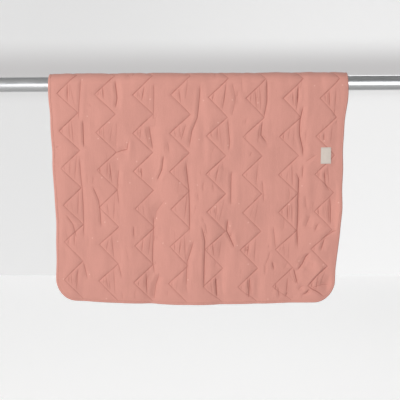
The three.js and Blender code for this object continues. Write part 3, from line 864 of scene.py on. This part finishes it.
def binding_cotton(cut, colours):
    """The same cotton cut on the bias, with one line of stitches near the seam on each face, painted shade
    beside them and a painted highlight along the rolled outer edge.
    """
    cotton = Finish("binding_cotton", COTTON)
    travel, across = cotton.pattern()
    face = np.array(BINDING_SECTION) * MM
    wide = np.hypot(*np.diff(face, axis=0).T).sum()
    from_seam = wide - abs(across - wide)
    sewn = abs(from_seam - 1.1 * MM)
    thread = sewn.ramp(0.6 * MM, 0.25 * MM) * stitches(travel, 2.9 * MM)
    # drawn marks the painted shade beside the seam's stitches
    drawn = sewn.ramp(1.5 * MM, 0.1 * MM)
    pulls = cotton.noise((travel * 260, across * 60))
    # edge marks a painted highlight along the rolled outer edge, where the cloth turns away from the light
    edge = from_seam.ramp(4.2 * MM, 6.6 * MM)
    bias = weave_height(travel + across, travel - across, 1.2 * MM)
    # Painted highlight: lighter along the rolled outer edge
    base_colour = cotton.blend(edge * 0.5, colours.cloth, shade(colours.cloth, 1.08))
    # Painted shade beside the seam's stitches
    base_colour = cotton.blend(drawn * 0.35, base_colour, shade(colours.cloth, 0.78))
    base_colour = cotton.blend(thread * 0.15, base_colour, colours.thread)
    height = bias * (0.022 * MM) + (pulls - 0.5) * (0.35 * MM) + thread * (0.1 * MM)
    return cotton.finished(base_colour, 0.82 + pulls * 0.12, height)


def label_tape(cut, colours):
    """Pale woven tape: ribs across it, firm selvedges, and a line of stitches along the top and the
    bottom edge. It is bare."""
    tape = Finish("label_tape", {"Roughness": 0.75, "Specular IOR Level": 0.35})
    x, y = tape.pattern()
    width, height = cut.sizes.label_width, cut.sizes.label_height
    side = width / 2 - abs(x - width / 2)
    end = height / 2 - abs(y - height / 2)
    ribs = (y * (2 * math.pi / (0.55 * MM))).sine() * 0.5 + 0.5
    warp = (x * (2 * math.pi / (0.9 * MM))).sine() * 0.5 + 0.5
    selvedge = side.ramp(1.4 * MM, 0.9 * MM)
    thread = abs(end - 1.6 * MM).ramp(0.45 * MM, 0.2 * MM) * stitches(x, 2.3 * MM, 0.36)
    clouds = tape.noise((x * 160, y * 90))
    base_colour = tape.blend(ribs * 0.3 + clouds * 0.3, colours.label, shade(colours.label, 0.86))
    base_colour = tape.blend(selvedge * 0.4, base_colour, shade(colours.label, 0.85))
    base_colour = tape.blend(thread * 0.7, base_colour, shade(colours.label, 0.62))
    lifted = ribs * (0.03 * MM) + warp * (0.015 * MM) + thread * (0.12 * MM) - selvedge * (0.05 * MM)
    return tape.finished(base_colour, 0.7 + clouds * 0.12, lifted)


def brushed_rail(colours):
    """Aluminium brushed along the rail: long fine streaks that vary its roughness, tint and height."""
    metal = Finish("brushed_rail", {"Metallic": 1.0, "Roughness": 0.3})
    x, y, z = metal.split(metal.place(), (0, 1, 2))
    streaks = metal.noise((x * 5, y * 1500, z * 1500), 3.0, 0.6)
    broad = metal.noise((x * 2.5, y * 160, z * 160))
    handled = metal.noise((x * 14, y * 20, z * 20), 4.0, 0.6)
    tint = metal.blend(streaks * 0.6 + broad * 0.25, colours.rail, shade(colours.rail, 0.82))
    rough = 0.24 + streaks * 0.12 + handled.ramp(0.5, 0.75) * 0.06
    return metal.finished(tint, rough, streaks * (0.012 * MM))


class DUVET_OT_sew_quilt(Operator):
    """Sew the filled duvet with its zigzags, puckers and creases"""

    bl_idname = "duvet.sew_quilt"
    bl_label = "Sew Quilt"

    def execute(self, context):
        cut = Cut(context.scene.duvet_sizes)
        piece = duvet_mesh(cut)
        piece.data.materials.append(quilted_cotton(cut, context.scene.duvet_colours))
        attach(piece, "root")
        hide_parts("duvet")
        return {"FINISHED"}


class DUVET_OT_sew_binding(Operator):
    """Sew the narrow strip round the edge of the duvet"""

    bl_idname = "duvet.sew_binding"
    bl_label = "Sew Binding"

    def execute(self, context):
        cut = Cut(context.scene.duvet_sizes)
        piece = binding_mesh(cut)
        piece.data.materials.append(binding_cotton(cut, context.scene.duvet_colours))
        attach(piece, "root")
        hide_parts("binding")
        return {"FINISHED"}


class DUVET_OT_sew_label(Operator):
    """Sew the bare woven label to the front"""

    bl_idname = "duvet.sew_label"
    bl_label = "Sew Label"

    def execute(self, context):
        sizes = context.scene.duvet_sizes
        cut = Cut(sizes)
        piece = label_mesh(cut)
        piece.data.materials.append(label_tape(cut, context.scene.duvet_colours))
        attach(piece, "root")
        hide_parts("label")
        return {"FINISHED"}


class DUVET_OT_brush_rail(Operator):
    """Give the rail its brushed metal"""

    bl_idname = "duvet.brush_rail"
    bl_label = "Brush Rail"

    def execute(self, context):
        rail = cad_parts["rail"]
        finish = brushed_rail(context.scene.duvet_colours)
        for slot in rail.material_slots:
            slot.material = finish
        return {"FINISHED"}


def plain_finish(name, colour, roughness, glow=0.0):
    """A matt painted surface with faint clouds, for the room, evenly lit by glow."""
    steady = {"Roughness": roughness, "Emission Strength": glow, "Emission Color": (1, 1, 1)}
    paint = Finish(name, steady)
    clouds = paint.noise([part * 0.6 for part in paint.split(paint.place(), (0, 1, 2))])
    return paint.finished(paint.blend(clouds, shade(colour, 0.985), colour))


def shaded_wall(colours):
    """The pale wall, lit by its own glow, which is painted brighter towards the right, with a soft painted
    shadow level with the rail."""
    paint = Finish("pale_wall", {"Roughness": 0.95, "Emission Strength": 0.48})
    x, z = paint.split(paint.place(), (0, 2))
    # A painted shadow of the rail and the duvet, darker in a soft strip level with the rail
    shadow_band = abs(z - 0.02).ramp(0.24, 0.0)
    # Painted light: the wall's glow is brighter towards the right
    glow = paint.blend(x.ramp(-0.8, 1.8), (0.86, 0.86, 0.86), (1.1, 1.1, 1.1))
    paint.join(paint.blend(shadow_band, glow, (0.71, 0.69, 0.69)), paint.shader.inputs["Emission Color"])
    return paint.finished(paint.blend(shadow_band, colours.wall, shade(colours.wall, 0.62)))


def level(left, right, near, far, height):
    """The corners of a level rectangle that faces up."""
    return [(left, near, height), (right, near, height), (right, far, height), (left, far, height)]


def stage_sheet(name, corners, material):
    """A flat four-cornered sheet of the room."""
    mesh = bpy.data.meshes.new(name)
    mesh.from_pydata(corners, [], [(0, 1, 2, 3)])
    mesh.materials.append(material)
    sheet = bpy.data.objects.new(name, mesh)
    bpy.context.scene.collection.objects.link(sheet)


def soft_light(name, place, target, size, power, colour=(1, 1, 1)):
    """A rectangular area light that faces a target."""
    lamp = bpy.data.lights.new(name, "AREA")
    lamp.shape = "RECTANGLE"
    lamp.size, lamp.size_y = size
    lamp.energy = power
    lamp.color = colour
    holder = bpy.data.objects.new(name, lamp)
    holder.location = place
    holder.rotation_euler = (Vector(target) - Vector(place)).to_track_quat("-Z", "Y").to_euler()
    bpy.context.scene.collection.objects.link(holder)


def photo_camera():
    """The camera, which looks along +Y before its yaw, pitch and roll turn it."""
    yaw, pitch, roll = (math.radians(angle) for angle in CAMERA_TURNS)
    turn = Matrix.Rotation(-yaw, 4, "Z") @ Matrix.Rotation(math.pi / 2 - pitch, 4, "X")
    lens = bpy.data.cameras.new("photo_camera")
    lens.lens = CAMERA_LENS
    lens.sensor_width = 36
    lens.clip_end = 50
    camera = bpy.data.objects.new("photo_camera", lens)
    camera.matrix_world = Matrix.Translation(CAMERA_PLACE) @ turn @ Matrix.Rotation(roll, 4, "Z")
    bpy.context.scene.collection.objects.link(camera)
    bpy.context.scene.camera = camera


class DUVET_OT_set_stage(Operator):
    """Set the pale floor, the far wall, the soft lights and the camera"""

    bl_idname = "duvet.set_stage"
    bl_label = "Set Stage"

    def execute(self, context):
        colours = context.scene.duvet_colours
        left, right = -9, 10
        front, near, far = -9, 1.5, 4.5
        low, high = -1.45, 3.4
        floor = plain_finish("pale_floor", colours.floor, 0.9, 0.37)
        near_floor = plain_finish("grey_floor", colours.near_floor, 0.9)
        ceiling = plain_finish("grey_ceiling", colours.ceiling, 0.95)
        wall = [(left, far, low), (right, far, low), (right, far, high), (left, far, high)]
        stage_sheet("floor", level(left, right, near, far, low), floor)
        stage_sheet("near_floor", level(left, right, front, near, low), near_floor)
        stage_sheet("wall", wall, shaded_wall(colours))
        stage_sheet("ceiling", level(-6, 7, -4, far, high)[::-1], ceiling)
        world = bpy.data.worlds.new("studio_air")
        world.use_nodes = True
        air = world.node_tree.nodes["Background"]
        air.inputs["Color"].default_value = (0.95, 0.97, 1.0, 1)
        air.inputs["Strength"].default_value = 0.24
        context.scene.world = world
        middle = (0.5, 0.0, -0.25)
        soft_light("main_light", (-3.2, -2.7, 1.8), middle, (1.5, 1.5), 150, (1.0, 0.985, 0.96))
        soft_light("front_light", (0.9, -3.6, -0.45), middle, (3.4, 2.4), 70)
        soft_light("back_light", (1.6, 2.6, 1.2), middle, (1.6, 1.2), 12)
        context.scene.view_settings.view_transform = "Standard"
        photo_camera()
        return {"FINISHED"}


class DUVET_PT_sewing(Panel):
    """Lists the pieces of the duvet and the stage"""

    bl_idname = "DUVET_PT_sewing"
    bl_label = "Duvet"
    bl_space_type = "VIEW_3D"
    bl_region_type = "UI"
    bl_category = "Duvet"

    def draw(self, context):
        for operator in OPERATORS:
            self.layout.operator(operator.bl_idname)
        for group in (context.scene.duvet_sizes, context.scene.duvet_colours):
            for name in group.bl_rna.properties.keys():
                if name not in ("rna_type", "name"):
                    self.layout.prop(group, name)


OPERATORS = (
    DUVET_OT_set_stage,
    DUVET_OT_sew_quilt,
    DUVET_OT_sew_binding,
    DUVET_OT_sew_label,
    DUVET_OT_brush_rail,
)
CLASSES = (DuvetSizes, DuvetColours, *OPERATORS, DUVET_PT_sewing)


def register():
    for each in CLASSES:
        bpy.utils.register_class(each)
    bpy.types.Scene.duvet_sizes = PointerProperty(type=DuvetSizes)
    bpy.types.Scene.duvet_colours = PointerProperty(type=DuvetColours)


def unregister():
    del bpy.types.Scene.duvet_colours
    del bpy.types.Scene.duvet_sizes
    for each in reversed(CLASSES):
        bpy.utils.unregister_class(each)


def corners(box):
    """A box's two corners as plain lists."""
    return [[round(float(value), 6) for value in corner] for corner in box]


def main():
    register()
    bpy.ops.duvet.set_stage()
    bpy.ops.duvet.sew_quilt()
    bpy.ops.duvet.sew_binding()
    bpy.ops.duvet.sew_label()
    bpy.ops.duvet.brush_rail()


if __name__ == "__main__":
    main()
